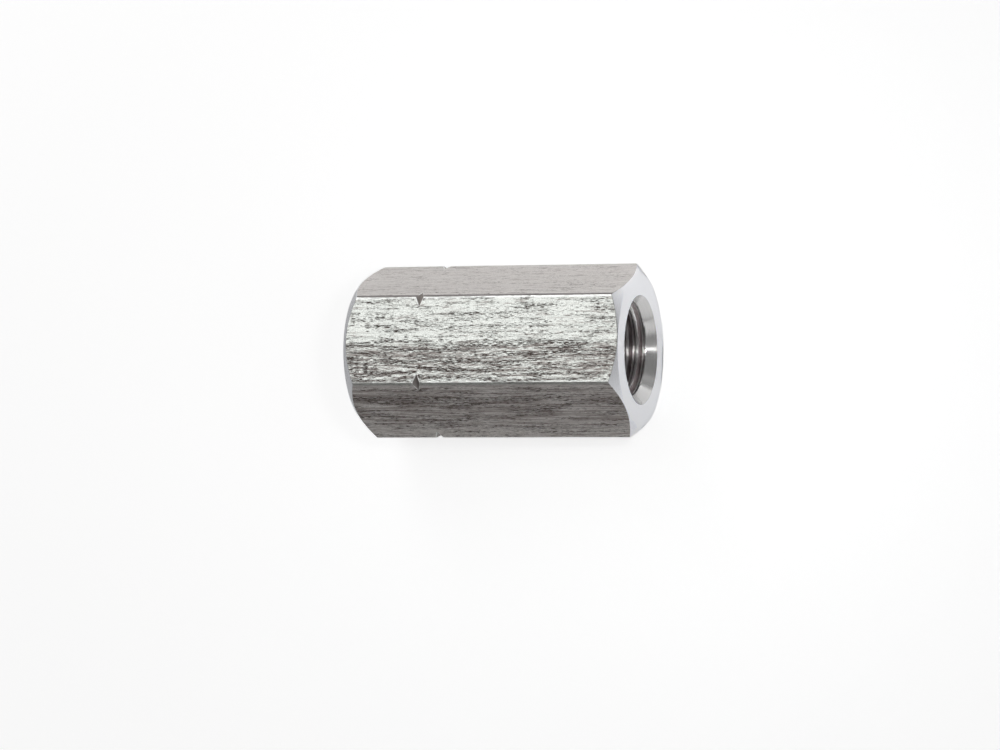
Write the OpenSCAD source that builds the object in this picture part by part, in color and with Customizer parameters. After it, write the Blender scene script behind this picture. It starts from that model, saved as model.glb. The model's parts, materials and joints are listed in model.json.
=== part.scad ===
// Coupling nut with a right-hand thread at one end and a left-hand thread at the other,
// turned in one piece from cold-drawn hexagon bar.
// It lies on one of its flats. The origin is the middle of the bore, +X runs along the bore
// to the end with the right-hand thread, and +Z is up.

/* [Hexagon bar] */
// Width of the bar across its flats
across_flats = 18.9; // [17:0.1:30]
// Length of the nut from end face to end face
nut_l = 36; // [26:1:80]

/* [Bore] */
// Nominal diameter of the threads, as on the bolts that they take
thread_d = 12; // [8:0.5:14]
// Pitch of both threads
thread_pitch = 1.25; // [0.5:0.05:2]
// How far the countersinks' mouths reach past the nominal diameter, all round
mouth_margin = 0.8; // [0.1:0.1:1.5]
// Included angle of the countersinks
countersink_angle = 72; // [60:1:120]

/* [Right-hand end] */
// How far the flat end face stops short of the flats
right_face_inset = 0.15; // [0:0.05:1]
// Angle between this end's chamfer and its face
right_chamfer_angle = 33; // [15:1:45]

/* [Left-hand end] */
// How far the flat end face stops short of the flats
left_face_inset = 0.7; // [0:0.05:1]
// Angle between this end's chamfer and its face
left_chamfer_angle = 39; // [15:1:45]

/* [Left-hand mark] */
// Distance from the left-hand end to the notches on the six corners
notch_from_end = 10.1; // [5:0.1:22]
// Depth of the notches below the corners
notch_depth = 0.56; // [0.1:0.02:1.2]
// Included angle of the notches
notch_angle = 85; // [60:1:100]

/* [Hidden] */

// Facets of the round surfaces, which are true circles in the solid
round_fn = 120;
// How far cutting tools run past what they cut
overrun = 1;
// Depth of a metric 60 degree thread, from its crest to the nominal diameter, per pitch
internal_thread_depth = 5 / 8 * cos(30);

half_l = nut_l / 2;
corner_r = across_flats / 2 / cos(30);
minor_r = thread_d / 2 - internal_thread_depth * thread_pitch;
mouth_r = thread_d / 2 + mouth_margin;
countersink_depth = (mouth_r - minor_r) / tan(countersink_angle / 2);
notch_x = notch_from_end - half_l;

// Turns a half section, drawn as [distance along the bore, radius], about the bore
module turned(section) {
    rotate([0, 90, 0])
        rotate_extrude($fn = round_fn)
            polygon([for (p = section) [p[1], p[0]]]);
}

// The drawn bar, cut to length, with a flat on top and one below
module hexagon_bar() {
    rotate([0, 90, 0])
        rotate([0, 0, 30])
            cylinder(r = corner_r, h = nut_l, $fn = 6, center = true);
}

// What the lathe leaves of the bar's corners at both ends
module chamfered_envelope() {
    outer_r = corner_r + overrun;
    left_r = across_flats / 2 - left_face_inset;
    right_r = across_flats / 2 - right_face_inset;
    turned([
        [-half_l, 0],
        [-half_l, left_r],
        [-half_l + (outer_r - left_r) * tan(left_chamfer_angle), outer_r],
        [half_l - (outer_r - right_r) * tan(right_chamfer_angle), outer_r],
        [half_l, right_r],
        [half_l, 0],
    ]);
}

// The tapping hole right through, opened to a countersink at each end.
// Its wall is the crest of both threads.
module threaded_bore() {
    past_mouth_r = mouth_r + overrun * tan(countersink_angle / 2);
    turned([
        [-half_l - overrun, 0],
        [-half_l - overrun, past_mouth_r],
        [-half_l + countersink_depth, minor_r],
        [half_l - countersink_depth, minor_r],
        [half_l + overrun, past_mouth_r],
        [half_l + overrun, 0],
    ]);
}

// The ring that a pointed tool turns across the corners, clear of the flats.
// It marks the end with the left-hand thread.
module notch_ring() {
    outer_r = corner_r + overrun;
    half_width = (notch_depth + overrun) * tan(notch_angle / 2);
    turned([
        [notch_x, corner_r - notch_depth],
        [notch_x + half_width, outer_r],
        [notch_x - half_width, outer_r],
    ]);
}

module coupling_nut() {
    color("silver")
        difference() {
            intersection() {
                hexagon_bar();
                chamfered_envelope();
            }
            threaded_bore();
            notch_ring();
        }
}

coupling_nut();
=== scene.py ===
import json
import math

import bmesh
import bpy
import numpy as np
from mathutils import Matrix, Vector


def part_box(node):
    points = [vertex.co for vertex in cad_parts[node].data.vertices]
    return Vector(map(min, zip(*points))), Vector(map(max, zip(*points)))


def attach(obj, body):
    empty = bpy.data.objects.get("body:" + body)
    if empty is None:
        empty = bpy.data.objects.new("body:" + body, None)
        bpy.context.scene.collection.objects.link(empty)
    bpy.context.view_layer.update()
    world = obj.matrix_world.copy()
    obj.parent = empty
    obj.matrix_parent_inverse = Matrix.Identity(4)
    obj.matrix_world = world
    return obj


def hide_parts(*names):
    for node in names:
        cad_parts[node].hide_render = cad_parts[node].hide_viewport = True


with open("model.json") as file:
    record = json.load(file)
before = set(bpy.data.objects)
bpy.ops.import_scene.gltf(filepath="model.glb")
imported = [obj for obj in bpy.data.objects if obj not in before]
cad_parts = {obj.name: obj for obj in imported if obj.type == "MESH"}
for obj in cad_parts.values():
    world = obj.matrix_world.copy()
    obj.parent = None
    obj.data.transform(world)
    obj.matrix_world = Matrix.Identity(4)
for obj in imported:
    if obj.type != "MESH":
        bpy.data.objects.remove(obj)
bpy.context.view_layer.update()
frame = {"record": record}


def tan(degrees):
    return math.tan(math.radians(degrees))


# ---- Sizes ----
# Lengths are in millimetres and angles in degrees. MM takes a length to the scene's metres.

MM = 0.001
NODE = "coupling_nut"

# From the solid and its record
low_corner, high_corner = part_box(NODE)
HALF_LENGTH = high_corner[0] / MM
APOTHEM = high_corner[2] / MM  # from the bore's axis to a flat
FLOOR_Z = low_corner[2] / MM
mounts = {mount["name"]: mount for mount in frame["record"]["mounts"]}
bore = mounts["right_hand_thread"]["dims"]
CREST_R = bore["r_mm"]
COUNTERSINK_DEPTH = HALF_LENGTH - bore["length_mm"] / 2

# What the record doesn't say of the solid: the same values as in the part's source
THREAD_R = 6.0
PITCH = 1.25
COUNTERSINK_ANGLE = 36.0  # from the bore's axis
LEFT_FACE_R = APOTHEM - 0.7
LEFT_CHAMFER = 39.0
RIGHT_FACE_R = APOTHEM - 0.15
RIGHT_CHAMFER = 33.0
NOTCH_X = 10.1 - HALF_LENGTH
NOTCH_DEPTH = 0.56
NOTCH_ANGLE = 42.5  # from the notch's middle plane

CORNER_R = APOTHEM / math.cos(math.radians(30))
CORNER_Y = APOTHEM * tan(30)  # of the top flat's far corner, and its near one at -CORNER_Y
NOTCH_R = CORNER_R - NOTCH_DEPTH
MOUTH_R = CREST_R + COUNTERSINK_DEPTH * tan(COUNTERSINK_ANGLE)

# Finer forms that the solid leaves out
CORNER_ROUND = 0.32  # radius of the drawn bar's corners
EDGE_BREAK = 0.05  # how far the turned edges are broken
LIP = 0.1  # depth of the first ring of vertices inside a mouth
CREST_X = 15.73  # middle of the first whole crest, where the bore's wall is lowest
TURNS = 13  # turns of thread on each side of the middle
START_X = HALF_LENGTH - LIP - PITCH * TURNS  # where the thread starts beside the middle
FADE = 1.6  # length over which it runs out there

# ---- The mesh ----

DRAWN, TURNED, CUT = range(3)  # its materials
BANDS = 3  # of quads, from each station of the outside profile to the next
TINY = 1e-4  # a length that counts as nothing


def bar_outline():
    """Angles in degrees about +X from +Y, and radii, of points round the drawn bar.

    They start in the middle of the flat before the +Y corner. Each sixth holds half a flat,
    a rounded corner and another half flat, with a point where each notch runs out."""
    centre = CORNER_R - CORNER_ROUND / math.sin(math.radians(60))
    tangent = CORNER_Y - CORNER_ROUND * tan(30)
    notch_end = math.sqrt(NOTCH_R**2 - APOTHEM**2)
    flat = np.linspace(0, notch_end, 8)
    along = np.concatenate([flat, np.linspace(notch_end, tangent, 6)[1:]])
    up_to_corner = [(math.degrees(math.atan2(d, APOTHEM)) - 30, math.hypot(d, APOTHEM)) for d in along]
    round_corner = []
    for turn in np.radians([-20, -10, 0, 10, 20]):
        across, out = CORNER_ROUND * math.sin(turn), centre + CORNER_ROUND * math.cos(turn)
        round_corner.append((math.degrees(math.atan2(across, out)), math.hypot(across, out)))
    from_corner = [(-angle, radius) for angle, radius in reversed(up_to_corner)][:-1]
    sixth = np.array(up_to_corner + round_corner + from_corner)
    angles = np.concatenate([sixth[:, 0] + 60 * corner for corner in range(6)])
    return angles, np.tile(sixth[:, 1], 6)


def cone_r(x):
    """Radius of the right-hand countersink at x, less than the crests' beyond its bottom."""
    return CREST_R + (x - HALF_LENGTH + COUNTERSINK_DEPTH) * tan(COUNTERSINK_ANGLE)


def broken_edges(points, size):
    """The profile with each inner station cut back by a size and rounded.

    points has shape (columns, stations, 2). Each inner station gives way to three points, and
    the cut takes at most 0.4 of the shorter stretch beside it."""
    kept = [points[:, 0]]
    for i in range(1, points.shape[1] - 1):
        here = points[:, i]
        before, after = points[:, i - 1] - here, points[:, i + 1] - here
        reach = [np.linalg.norm(side, axis=1, keepdims=True) for side in (before, after)]
        cut = np.minimum(size, 0.4 * np.minimum(*reach))
        start, end = here + before / reach[0] * cut, here + after / reach[1] * cut
        kept += [start, (start + 2 * here + end) / 4, end]
    kept.append(points[:, -1])
    return np.stack(kept, axis=1)


def outside_profile(bar_r):
    """x and radius, from inside the left mouth over the outside to inside the right mouth."""
    notch_cut = np.maximum(bar_r - NOTCH_R, 0)
    # On the flats, which the notch doesn't reach, its stations still lie apart
    half_width = np.maximum(notch_cut * tan(NOTCH_ANGLE), 0.3 * EDGE_BREAK)
    mouth = (HALF_LENGTH - LIP, cone_r(HALF_LENGTH - LIP))
    stations = [
        (-mouth[0], mouth[1]),
        (-HALF_LENGTH, MOUTH_R),
        (-HALF_LENGTH, LEFT_FACE_R),
        (-HALF_LENGTH + (bar_r - LEFT_FACE_R) * tan(LEFT_CHAMFER), bar_r),
        (NOTCH_X - half_width, bar_r),
        (NOTCH_X, bar_r - notch_cut),
        (NOTCH_X + half_width, bar_r),
        (HALF_LENGTH - (bar_r - RIGHT_FACE_R) * tan(RIGHT_CHAMFER), bar_r),
        (HALF_LENGTH, RIGHT_FACE_R),
        (HALF_LENGTH, MOUTH_R),
        mouth,
    ]
    rows = [np.stack(np.broadcast_arrays(x, r, bar_r)[:2], axis=-1) for x, r in stations]
    return broken_edges(np.stack(rows, axis=1), EDGE_BREAK)


def outside_kinds(bar_r, count):
    """The material of each band of quads outside: the drawn skin lies between the chamfers."""
    flats_start, notch_start, notch_end, flats_end = (BANDS * station for station in (3, 4, 6, 7))
    kinds = np.full((len(bar_r), count), TURNED)
    kinds[:, flats_start:flats_end] = DRAWN
    notched = bar_r > NOTCH_R + TINY
    kinds[notched | np.roll(notched, -1), notch_start:notch_end] = TURNED
    return kinds


def thread_r(x, angle):
    """Radius of the right-hand thread's wall, which runs out towards the nut's middle.

    In one pitch it has half a crest, a 60 degree flank, a root, a flank and half a crest."""
    phase = (x - CREST_X) / PITCH - (angle + 90) / 360
    depth = np.interp(phase % 1, [0, 1 / 8, 7 / 16, 9 / 16, 7 / 8, 1], [0, 0, 1, 1, 0, 0])
    whole = np.clip((x - START_X) / FADE, 0, 1)
    return CREST_R + (THREAD_R - CREST_R) * depth * whole


def bore_profile(angles):
    """The right half of the bore's wall, for each column of vertices.

    Gives x, radius, where it is threaded, and the count of stations in a pitch. The stations
    follow the thread, so a column's last one lies a pitch beyond its first after a whole turn.
    At both ends a wedge that narrows to nothing in that turn leads over to a round edge."""
    share = (angles - angles[0]) / 360
    # From a crest's middle: both sides of its edge, the flank's middle, both sides of the root's edge
    side = np.array([0.115, 0.135, 0.285, 0.43, 0.445])
    phases = np.concatenate([[0, 0.5], side, 1 - side])
    first = (START_X - CREST_X) / PITCH - (angles[0] + 90) / 360
    steps = np.unique(np.round(np.append((phases - first) % 1, 0), 6))
    wedge_in = share[:, None] * steps
    strip = share[:, None] + (np.arange(TURNS - 1)[:, None] + steps).ravel()
    wedge_out = (share + TURNS - 1)[:, None] + (1 - share)[:, None] * np.append(steps, 1)
    x = START_X + PITCH * np.concatenate([wedge_in, strip, wedge_out], axis=1)
    cut, cone = thread_r(x, angles[:, None]), cone_r(x)
    snap_to_crossings(x, cut, cone)
    return x, np.maximum(cut, cone), cut > cone + TINY, len(steps)


def snap_to_crossings(x, cut, cone):
    """Moves the nearest station to each place where thread and countersink cross."""
    gap = cut - cone
    for column, i in zip(*np.nonzero(gap[:, :-1] * gap[:, 1:] < 0)):
        at = gap[column, i] / (gap[column, i] - gap[column, i + 1])
        nearest = i + round(at)
        x[column, nearest] = x[column, i] + at * (x[column, i + 1] - x[column, i])
        cut[column, nearest] = cone[column, nearest] = cone_r(x[column, nearest])


def add_patch(bm, angles, x, r, kinds, climb=0):
    """Adds a sleeve of quads. kinds gives each quad's material.

    climb is by how many stations the sleeve rises in a turn, as a thread does."""
    turn = np.radians(angles)[:, None]
    places = np.stack([x, r * np.cos(turn), r * np.sin(turn)], axis=-1) * MM
    grid = [[bm.verts.new(place) for place in column] for column in places]
    last = len(grid[0]) - 1
    for j, column in enumerate(grid):
        wraps = j == len(grid) - 1
        beside, rise = (grid[0], climb) if wraps else (grid[j + 1], 0)
        for t in range(last):
            far, near = beside[min(t + 1 + rise, last)], beside[min(t + rise, last)]
            corners = [column[t], column[t + 1], far, near]
            if far is near:
                corners.pop()
            face = bm.faces.new(corners)
            face.material_index = kinds[j, t]
            face.smooth = True


def soft_normal(vertex):
    """A normal taken from the larger faces round it, so that only the broken edges look round."""
    return sum((face.normal * face.calc_area() for face in vertex.link_faces), Vector()).normalized()


def nut_mesh():
    angles, bar_r = bar_outline()
    bm = bmesh.new()

    outside = outside_profile(bar_r)
    kinds = outside_kinds(bar_r, outside.shape[1] - 1)
    add_patch(bm, angles, outside[..., 0], outside[..., 1], kinds)

    x, r, threaded, climb = bore_profile(angles)
    kinds = np.where(threaded[:, :-1] | threaded[:, 1:], CUT, TURNED)
    kinds[x[:, :-1] < HALF_LENGTH - COUNTERSINK_DEPTH] = CUT
    # The left half mirrors the right one, so its thread is left-handed
    for hand in (1, -1):
        add_patch(bm, angles, hand * x, r, kinds, climb)
    middle_x = np.tile([-START_X, START_X], (len(angles), 1))
    middle_kinds = np.full((len(angles), 1), CUT)
    add_patch(bm, angles, middle_x, np.full_like(middle_x, CREST_R), middle_kinds)

    bmesh.ops.remove_doubles(bm, verts=bm.verts, dist=TINY * MM)
    bmesh.ops.recalc_face_normals(bm, faces=bm.faces)
    normals = [soft_normal(vertex) for vertex in bm.verts]
    mesh = bpy.data.meshes.new("coupling_nut_turned")
    bm.to_mesh(mesh)
    bm.free()
    mesh.normals_split_custom_set_from_vertices(normals)
    return mesh


# ---- Materials ----

# Colours. A pair gives the darkest and the lightest tone.
WHITE = (1, 1, 1)
TOP_SKIN = (0.54, 0.56, 0.53), (0.88, 0.9, 0.86)
SIDE_SKIN = (0.6, 0.57, 0.55), (0.8, 0.765, 0.74)
BROWN_FILM = (0.4, 0.35, 0.33)
# Painted shade: a dark line beside the top flat's corners
CORNER_SHADE_LINE = (0.27, 0.25, 0.24)
TEAR = (0.13, 0.105, 0.095)
# Wear and painted highlight on the corners and the notch's rims
WEAR_AND_HIGHLIGHT = (0.93, 0.94, 0.92)
TURNED_FACE = (0.76, 0.77, 0.8), (0.86, 0.87, 0.9)
COUNTERSINK = (0.55, 0.545, 0.54), (0.7, 0.695, 0.69)
NOTCH = (0.38, 0.34, 0.31)
# Oil and painted shade on the thread's flanks
OIL_AND_SHADE_FLANK = (0.17, 0.135, 0.14), (0.34, 0.3, 0.3)
THREAD_EDGE = (0.8, 0.78, 0.78)

# Where the drawn skin changes: distances from the nut's middle plane, then y and, last, z
SKIN_CHANGE = CORNER_Y - 0.056, CORNER_Y + 0.244  # from the top flat's tones to the side flats'
# where the painted shade line beside the corners lies
CORNER_SHADE_LINE_PLACE = CORNER_Y - 0.026, CORNER_Y + 0.204
STAINED_STRIP = -4.2, -1.2
TORN_HALF = -5.0, -0.4
STREAKED_HEIGHT = 3.9, 6.5


class Nodes:
    """Short calls for building the tree of nodes of a material or world."""

    def __init__(self, owner):
        owner.use_nodes = True
        self.owner = owner
        self.tree = owner.node_tree

    def add(self, kind, settings=None, **inputs):
        """Adds a node. Inputs go by name, with _ for a space, or by number, as in _0."""
        node = self.tree.nodes.new(kind)
        for key, value in (settings or {}).items():
            setattr(node, key, value)
        for key, value in inputs.items():
            socket = int(key[1:]) if key[0] == "_" else key.replace("_", " ")
            self.feed(node.inputs[socket], value)
        return node

    def feed(self, socket, value):
        """Gives a socket a number, a colour or what another node puts out."""
        if isinstance(value, bpy.types.NodeSocket):
            self.tree.links.new(value, socket)
        elif socket.type == "RGBA":
            socket.default_value = (*value, 1)
        else:
            socket.default_value = value

    def math(self, operation, *values):
        inputs = {f"_{i}": value for i, value in enumerate(values)}
        return self.add("ShaderNodeMath", {"operation": operation}, **inputs).outputs[0]

    def whitened(self, plain, white, seen, mirrored):
        """Mixes white into a shader: seen is its share for the camera.

        mirrored is its share for what metal and glass show."""
        path = self.add("ShaderNodeLightPath").outputs
        bounce = self.math("MAXIMUM", path["Is Glossy Ray"], path["Is Transmission Ray"])
        straight = self.math("MULTIPLY", path["Is Camera Ray"], seen)
        share = self.math("MULTIPLY_ADD", bounce, mirrored, straight)
        return self.add("ShaderNodeMixShader", _0=share, _1=plain, _2=white).outputs[0]


class Steel(Nodes):
    """The nodes of a steel whose look depends on the place on the nut."""

    def __init__(self, name):
        super().__init__(bpy.data.materials.new(name))
        self.shader = self.tree.nodes["Principled BSDF"]
        self.shader.inputs["Metallic"].default_value = 1
        metres = self.add("ShaderNodeTexCoord").outputs["Object"]
        scaled = self.add("ShaderNodeVectorMath", {"operation": "SCALE"}, Vector=metres, Scale=1 / MM)
        self.point = scaled.outputs[0]
        self.x, self.y, self.z = self.add("ShaderNodeSeparateXYZ", Vector=self.point).outputs
        squares = [self.math("POWER", part, 2.0) for part in (self.y, self.z)]
        self.radius = self.math("SQRT", self.math("ADD", *squares))

    def noise(self, point, size, detail=2.0, roughness=0.5):
        """Noise from 0 to 1 whose grains have about this size along x, y and z."""
        scaled = self.add("ShaderNodeMapping", Vector=point, Scale=tuple(1 / length for length in size))
        settings = {"Scale": 1.0, "Detail": detail, "Roughness": roughness}
        return self.add("ShaderNodeTexNoise", Vector=scaled.outputs[0], **settings).outputs[0]

    def ramp(self, value, low, high, to_low=0.0, to_high=1.0):
        """Leads from one value to another, smoothly, as the input goes from low to high."""
        inputs = {"Value": value, "From_Min": low, "From_Max": high, "To_Min": to_low, "To_Max": to_high}
        return self.add("ShaderNodeMapRange", {"interpolation_type": "SMOOTHSTEP"}, **inputs).outputs[0]

    def band(self, value, start, end, soft):
        """1 between start and end, falling to 0 over soft on either side."""
        rise, fall = self.ramp(value, start - soft, start), self.ramp(value, end + soft, end)
        return self.math("MULTIPLY", rise, fall)

    def blend(self, share, colour_a, colour_b):
        """Leads from one colour to another as the share goes from 0 to 1."""
        node = self.add("ShaderNodeMix", {"data_type": "RGBA"}, Factor=share, _6=colour_a, _7=colour_b)
        return node.outputs[2]

    def tell(self, name, value):
        """Gives the shader's own socket a value that changes over the surface."""
        self.feed(self.shader.inputs[name], value)

    def stretch(self, amount):
        """Stretches reflections across the marks that a tool leaves round the bore's axis."""
        around = self.add("ShaderNodeTangent", {"direction_type": "RADIAL", "axis": "X"}).outputs[0]
        self.tell("Tangent", around)
        self.shader.inputs["Anisotropic"].default_value = amount
        self.shader.inputs["Anisotropic Rotation"].default_value = 0.25  # a quarter turn

    def bump(self, height, depth):
        """depth is in millimetres, for a height of 1."""
        node = self.add("ShaderNodeBump", Height=height, Strength=1.0, Distance=depth * MM)
        self.tell("Normal", node.outputs[0])


def tear_density(n, low_streaks):
    """How thickly tears lie: most on the top flat's near half and in blotches below it."""
    patches = n.noise(n.point, (4.5, 0.5, 0.5), detail=3)
    near_half = n.math("MULTIPLY", n.band(n.y, *TORN_HALF, 0.8), 0.055)
    clouds = n.noise(n.point, (7, 1.1, 1.1))
    blotches = n.math("MULTIPLY", low_streaks, n.ramp(clouds, 0.42, 0.62, -0.01, 0.09))
    more = n.math("MAXIMUM", near_half, blotches)
    fewer_beyond = n.ramp(n.y, *SKIN_CHANGE, 0, 0.06)
    return n.math("SUBTRACT", n.math("ADD", n.ramp(patches, 0.2, 0.8, -0.1, 0.12), more), fewer_beyond)


def wear_and_highlight_mask(n, far):
    """Where the steel is brightened: handling wears the corners, most towards +Y as a painted highlight,
    and a painted highlight outlines the notch's rims.
    """
    beside = n.math("ABSOLUTE", n.math("SUBTRACT", n.x, NOTCH_X))
    half_width = n.math("MULTIPLY", n.math("SUBTRACT", n.radius, NOTCH_R), tan(NOTCH_ANGLE))
    near_notch = n.ramp(n.math("SUBTRACT", beside, half_width), 0.17, 0.07)
    # A painted highlight along the notch's rims
    rim = n.math("MULTIPLY", near_notch, n.ramp(n.radius, NOTCH_R, NOTCH_R + 0.05))
    wear = n.ramp(n.noise(n.point, (0.8, 0.2, 0.2), detail=2), 0.3, 0.5, 0.6, 1)
    # Wear on the corners, weighted towards +Y, where it stands in for a painted highlight
    on_corner = n.ramp(n.radius, CORNER_R - 0.19, CORNER_R - 0.09)
    return n.math("MAXIMUM", n.math("MULTIPLY", on_corner, n.math("MULTIPLY", far, wear)), rim)


def drawn_steel():
    """The bar's drawn skin, with most wear where the photo shows it, and painted highlight and shade at
    the corners.
    """
    n = Steel("drawn_steel")
    aside = n.math("ABSOLUTE", n.y)
    # Grows towards +Y, the lit side: it weights the painted highlight and the painted shade line at the
    # corners
    far = n.ramp(n.y, -5, 5, 0.35, 1)
    # A strip along the top flat is stained, and so is the middle of the flat on its near side
    strip = n.band(n.y, *STAINED_STRIP, 1.5)
    near_flat = n.ramp(n.y, 0.056 - CORNER_Y, -0.344 - CORNER_Y)
    its_middle = n.math("MULTIPLY_ADD", n.band(n.z, *STREAKED_HEIGHT, 2.7), 0.9, 0.25)
    low_streaks = n.math("MULTIPLY", near_flat, its_middle)

    # Short dark tears, in rows along the long faint lines that the die leaves
    lines = n.noise(n.point, (30, 0.09, 0.09), detail=1)
    tears = n.noise(n.point, (0.65, 0.07, 0.07), detail=3, roughness=0.6)
    rows = n.math("ADD", tears, n.ramp(lines, 0.3, 0.7, -0.05, 0.05))
    density = n.math("MINIMUM", tear_density(n, low_streaks), 0.12)
    torn = n.ramp(n.math("ADD", rows, density), 0.59, 0.63)

    # A brown film between the tears, and a fine grain
    film = n.noise(n.point, (2, 0.18, 0.18), detail=3, roughness=0.65)
    streaks = n.noise(n.point, (6, 0.17, 0.17), detail=3, roughness=0.6)
    streaked = n.math("MULTIPLY", low_streaks, n.ramp(streaks, 0.38, 0.62, -0.22, 0.48))
    stained = n.math("ADD", film, n.math("MULTIPLY_ADD", strip, 0.1, streaked))
    stain = n.ramp(stained, 0.52, 0.72, 0, 0.85)
    grain = n.noise(n.point, (0.17, 0.07, 0.07), detail=2)
    tone = n.math("ADD", n.ramp(grain, 0.3, 0.7, -0.7, 0.7), n.ramp(lines, 0.3, 0.7, -0.4, 0.4))

    # The side flats keep a little more of the film than the top one
    lightness = n.ramp(tone, -1, 1)
    top, side = n.blend(lightness, *TOP_SKIN), n.blend(lightness, *SIDE_SKIN)
    skin = n.blend(n.ramp(aside, *SKIN_CHANGE), top, side)
    worn = n.blend(torn, n.blend(stain, skin, BROWN_FILM), TEAR)
    # Wear and a painted highlight brighten the corners and the notch's rims
    worn_and_highlit = n.blend(wear_and_highlight_mask(n, far), worn, WEAR_AND_HIGHLIGHT)
    # A thin painted shade line lies on the side flats beside the top one's corners, strongest towards +Y
    line = n.math("MULTIPLY", n.band(aside, *CORNER_SHADE_LINE_PLACE, 0.06), far)
    n.tell("Base Color", n.blend(line, worn_and_highlit, CORNER_SHADE_LINE))
    dull = n.math("MULTIPLY_ADD", tone, 0.1, n.math("MAXIMUM", torn, stain))
    n.tell("Roughness", n.ramp(dull, 0, 1, 0.28, 0.5))
    n.bump(n.math("MULTIPLY_ADD", tone, 0.1, n.math("SUBTRACT", 1, torn)), 0.016)
    return n.owner


def turned_steel():
    """The end faces, chamfers, countersinks and notches."""
    n = Steel("turned_steel")
    across = n.add("ShaderNodeCombineXYZ", X=n.math("ADD", n.radius, n.x)).outputs[0]
    marks = n.noise(across, (0.09, 1, 1), detail=2)
    clouds = n.noise(n.point, (1.5, 1.5, 1.5), detail=3)
    fresh = n.blend(n.ramp(n.math("ADD", marks, clouds), 0.6, 1.4), *TURNED_FACE)
    sunk = n.blend(n.ramp(marks, 0.35, 0.65), *COUNTERSINK)
    ends = n.blend(n.ramp(n.radius, MOUTH_R + 0.03, MOUTH_R - 0.03), fresh, sunk)
    # The notches are duller than the ends
    notched = n.band(n.x, NOTCH_X - 0.9, NOTCH_X + 0.9, 0.1)
    n.tell("Base Color", n.blend(n.math("MULTIPLY", notched, 0.85), ends, NOTCH))
    n.tell("Roughness", n.math("MULTIPLY_ADD", notched, 0.25, n.ramp(clouds, 0.2, 0.8, 0.16, 0.24)))
    n.stretch(0.7)
    n.bump(marks, 0.0008)
    return n.owner


def thread_steel():
    """The bore's wall, bright on the crests and in the roots, and dark between them with oil and painted
    shade.
    """
    n = Steel("thread_steel")
    uneven = n.noise(n.point, (0.6, 0.6, 0.6), detail=3)
    depth = n.math("MULTIPLY_ADD", uneven, 0.1, n.radius)
    # The flanks are darkened with oil and painted shade
    flank = n.blend(n.ramp(n.noise(n.point, (0.07, 1.2, 1.2)), 0.3, 0.7), *OIL_AND_SHADE_FLANK)
    crest = n.ramp(depth, CREST_R + 0.1, CREST_R + 0.05)
    root = n.ramp(depth, THREAD_R - 0.03, THREAD_R)
    n.tell("Base Color", n.blend(n.math("MAXIMUM", crest, root), flank, THREAD_EDGE))
    n.tell("Roughness", n.ramp(depth, CREST_R, THREAD_R, 0.36, 0.4))
    n.stretch(0.95)
    return n.owner


# ---- The nut ----

nut = bpy.data.objects.new("coupling_nut_dressed", nut_mesh())
bpy.context.collection.objects.link(nut)
for material in (drawn_steel(), turned_steel(), thread_steel()):
    nut.data.materials.append(material)
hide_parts(NODE)
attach(nut, "root")

# ---- Camera ----

CAMERA_TURN, CAMERA_TIP, CAMERA_ROLL = 19.45, -8.54, 0.37
CAMERA_DISTANCE = 540.5
CAMERA_SENSOR, CAMERA_LENS = 36, 156.1
AIM_LEFT, AIM_DOWN = 0.42, 2.98  # from the nut's middle, in the picture's directions


def add_camera():
    """Looks down on the nut as in the photo, with the bore level and its right-hand end nearer."""
    roll = Matrix.Rotation(math.radians(-CAMERA_ROLL), 3, "Z").transposed()
    turn = Matrix.Rotation(math.radians(-CAMERA_TURN), 3, "Y")
    tip = Matrix.Rotation(math.radians(CAMERA_TIP), 3, "X")
    axes = roll @ turn @ tip
    right, up, back = axes
    place = back * CAMERA_DISTANCE - right * AIM_LEFT - up * AIM_DOWN
    camera = bpy.data.objects.new("camera", bpy.data.cameras.new("camera"))
    camera.data.lens = CAMERA_LENS
    camera.data.sensor_width = CAMERA_SENSOR
    camera.matrix_world = Matrix.Translation(place * MM) @ axes.transposed().to_4x4()
    bpy.context.collection.objects.link(camera)
    bpy.context.scene.camera = camera


add_camera()

# ---- Floor and light ----

FLOOR_HALF = 1000
FLOOR_PAINT = (0.9, 0.9, 0.9)
FLOOR_WHITE_SEEN = 0.5  # the rest is the paint, which keeps the nut's shadow
FLOOR_WHITE = 1.58  # with the paint's half it comes to 1 in the open
FLOOR_WHITE_MIRRORED = 0.03
ROOM_LIGHT = 0.04
ROOM_WHITE_MIRRORED = 0.05
CARD_Z = FLOOR_Z + 0.15
MIDDLE = (0, 0, 0)
SINK = (HALF_LENGTH - COUNTERSINK_DEPTH / 2, 0, 0)  # the middle of the right-hand countersink


def add_floor():
    n = Nodes(bpy.data.materials.new("floor"))
    paint = n.tree.nodes["Principled BSDF"]
    n.feed(paint.inputs["Base Color"], FLOOR_PAINT)
    paint.inputs["Roughness"].default_value = 0.9
    paint.inputs["Specular IOR Level"].default_value = 0.2
    white = n.add("ShaderNodeEmission", Color=WHITE, Strength=FLOOR_WHITE).outputs[0]
    mix = n.whitened(paint.outputs[0], white, FLOOR_WHITE_SEEN, FLOOR_WHITE_MIRRORED)
    n.feed(n.tree.nodes["Material Output"].inputs["Surface"], mix)
    mesh = bpy.data.meshes.new("floor")
    signs = [(-1, -1), (1, -1), (1, 1), (-1, 1)]
    corners = [Vector((i * FLOOR_HALF, j * FLOOR_HALF, FLOOR_Z)) * MM for i, j in signs]
    mesh.from_pydata(corners, [], [(0, 1, 2, 3)])
    mesh.materials.append(n.owner)
    floor = bpy.data.objects.new("floor", mesh)
    bpy.context.collection.objects.link(floor)


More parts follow.
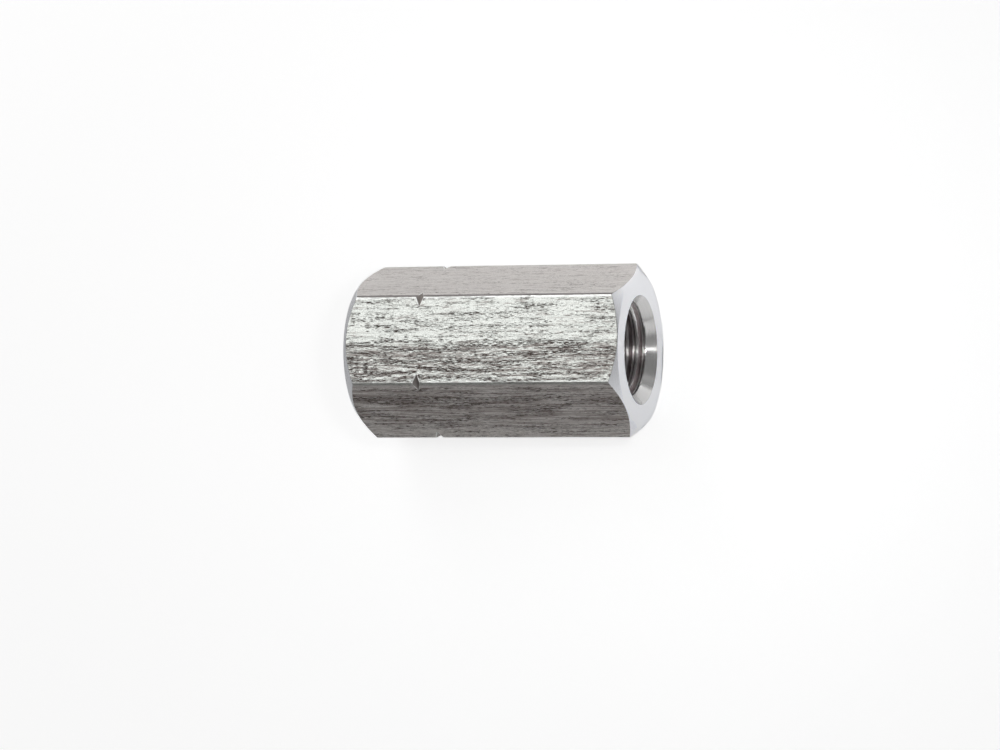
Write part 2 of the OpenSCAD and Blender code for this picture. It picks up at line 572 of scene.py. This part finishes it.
def add_world():
    world = bpy.data.worlds.new("studio")
    bpy.context.scene.world = world
    n = Nodes(world)
    room = n.tree.nodes["Background"]
    n.feed(room.inputs["Color"], WHITE)
    room.inputs["Strength"].default_value = ROOM_LIGHT
    white = n.add("ShaderNodeBackground", Color=WHITE).outputs[0]
    mix = n.whitened(room.outputs[0], white, 1, ROOM_WHITE_MIRRORED)
    n.feed(n.tree.nodes["World Output"].inputs["Surface"], mix)


def softbox(name, place, aim, size, radiance, spread=180):
    """An evenly bright rectangle, its long side level, that faces a point. 1 shines as white does."""
    light = bpy.data.lights.new(name, "AREA")
    light.shape = "RECTANGLE"
    light.size, light.size_y = (length * MM for length in size)
    light.energy = radiance * math.pi * light.size * light.size_y
    light.spread = math.radians(spread)
    away = (Vector(place) - Vector(aim)).normalized()
    along = (Vector((1, 0, 0)) - away * away.x).normalized()
    axes = Matrix((along, away.cross(along), away)).transposed()
    lamp = bpy.data.objects.new(name, light)
    lamp.matrix_world = Matrix.Translation(Vector(place) * MM) @ axes.to_4x4()
    lamp.visible_camera = False
    bpy.context.collection.objects.link(lamp)


def card(name, x, y, size, radiance):
    """A pale card on the floor, which the turned faces mirror."""
    softbox(name, (x, y, CARD_Z), (x, y, 0), size, radiance)


def add_lamps():
    # The flats and the corners between them
    softbox("overhead", (-105, 49, 326), MIDDLE, (210, 160), 1.36)
    softbox("rim", (-100, 190, 215), MIDDLE, (90, 120), 3.5)
    softbox("edge", (-60, 220, 80), MIDDLE, (300, 80), 1.2)
    softbox("front", (-110, -245, 195), MIDDLE, (220, 120), 0.3)
    # The end faces and chamfers
    card("card_behind", -20, 46, (130, 60), 0.29)
    card("card_beside", 73.2, 17, (110, 57), 0.4)
    card("card_before", 73.2, -28, (110, 33), 0.27)
    card("card_left", -68, 0, (90, 50), 0.05)
    softbox("end", (95, -14, 190), (17, 0, -5), (22, 22), 2.2, spread=35)
    # The countersink, from its top round to its bottom
    softbox("window", (300, -275, 80), MIDDLE, (140, 256), 0.8)
    softbox("side", (285, -59, 103), SINK, (300, 128), 0.24)
    softbox("strip", (190, -26, 130), SINK, (60, 12), 4)
    softbox("fill", (259, 61, 227), MIDDLE, (120, 700), 0.32)
    softbox("beyond", (190, 240, 50), SINK, (260, 110), 0.29)
    # The spots of light on the thread
    softbox("tube", (50, -52, 200), (50, 0, 0), (260, 6), 4)


add_floor()
add_world()
add_lamps()
bpy.context.scene.view_settings.view_transform = "Standard"
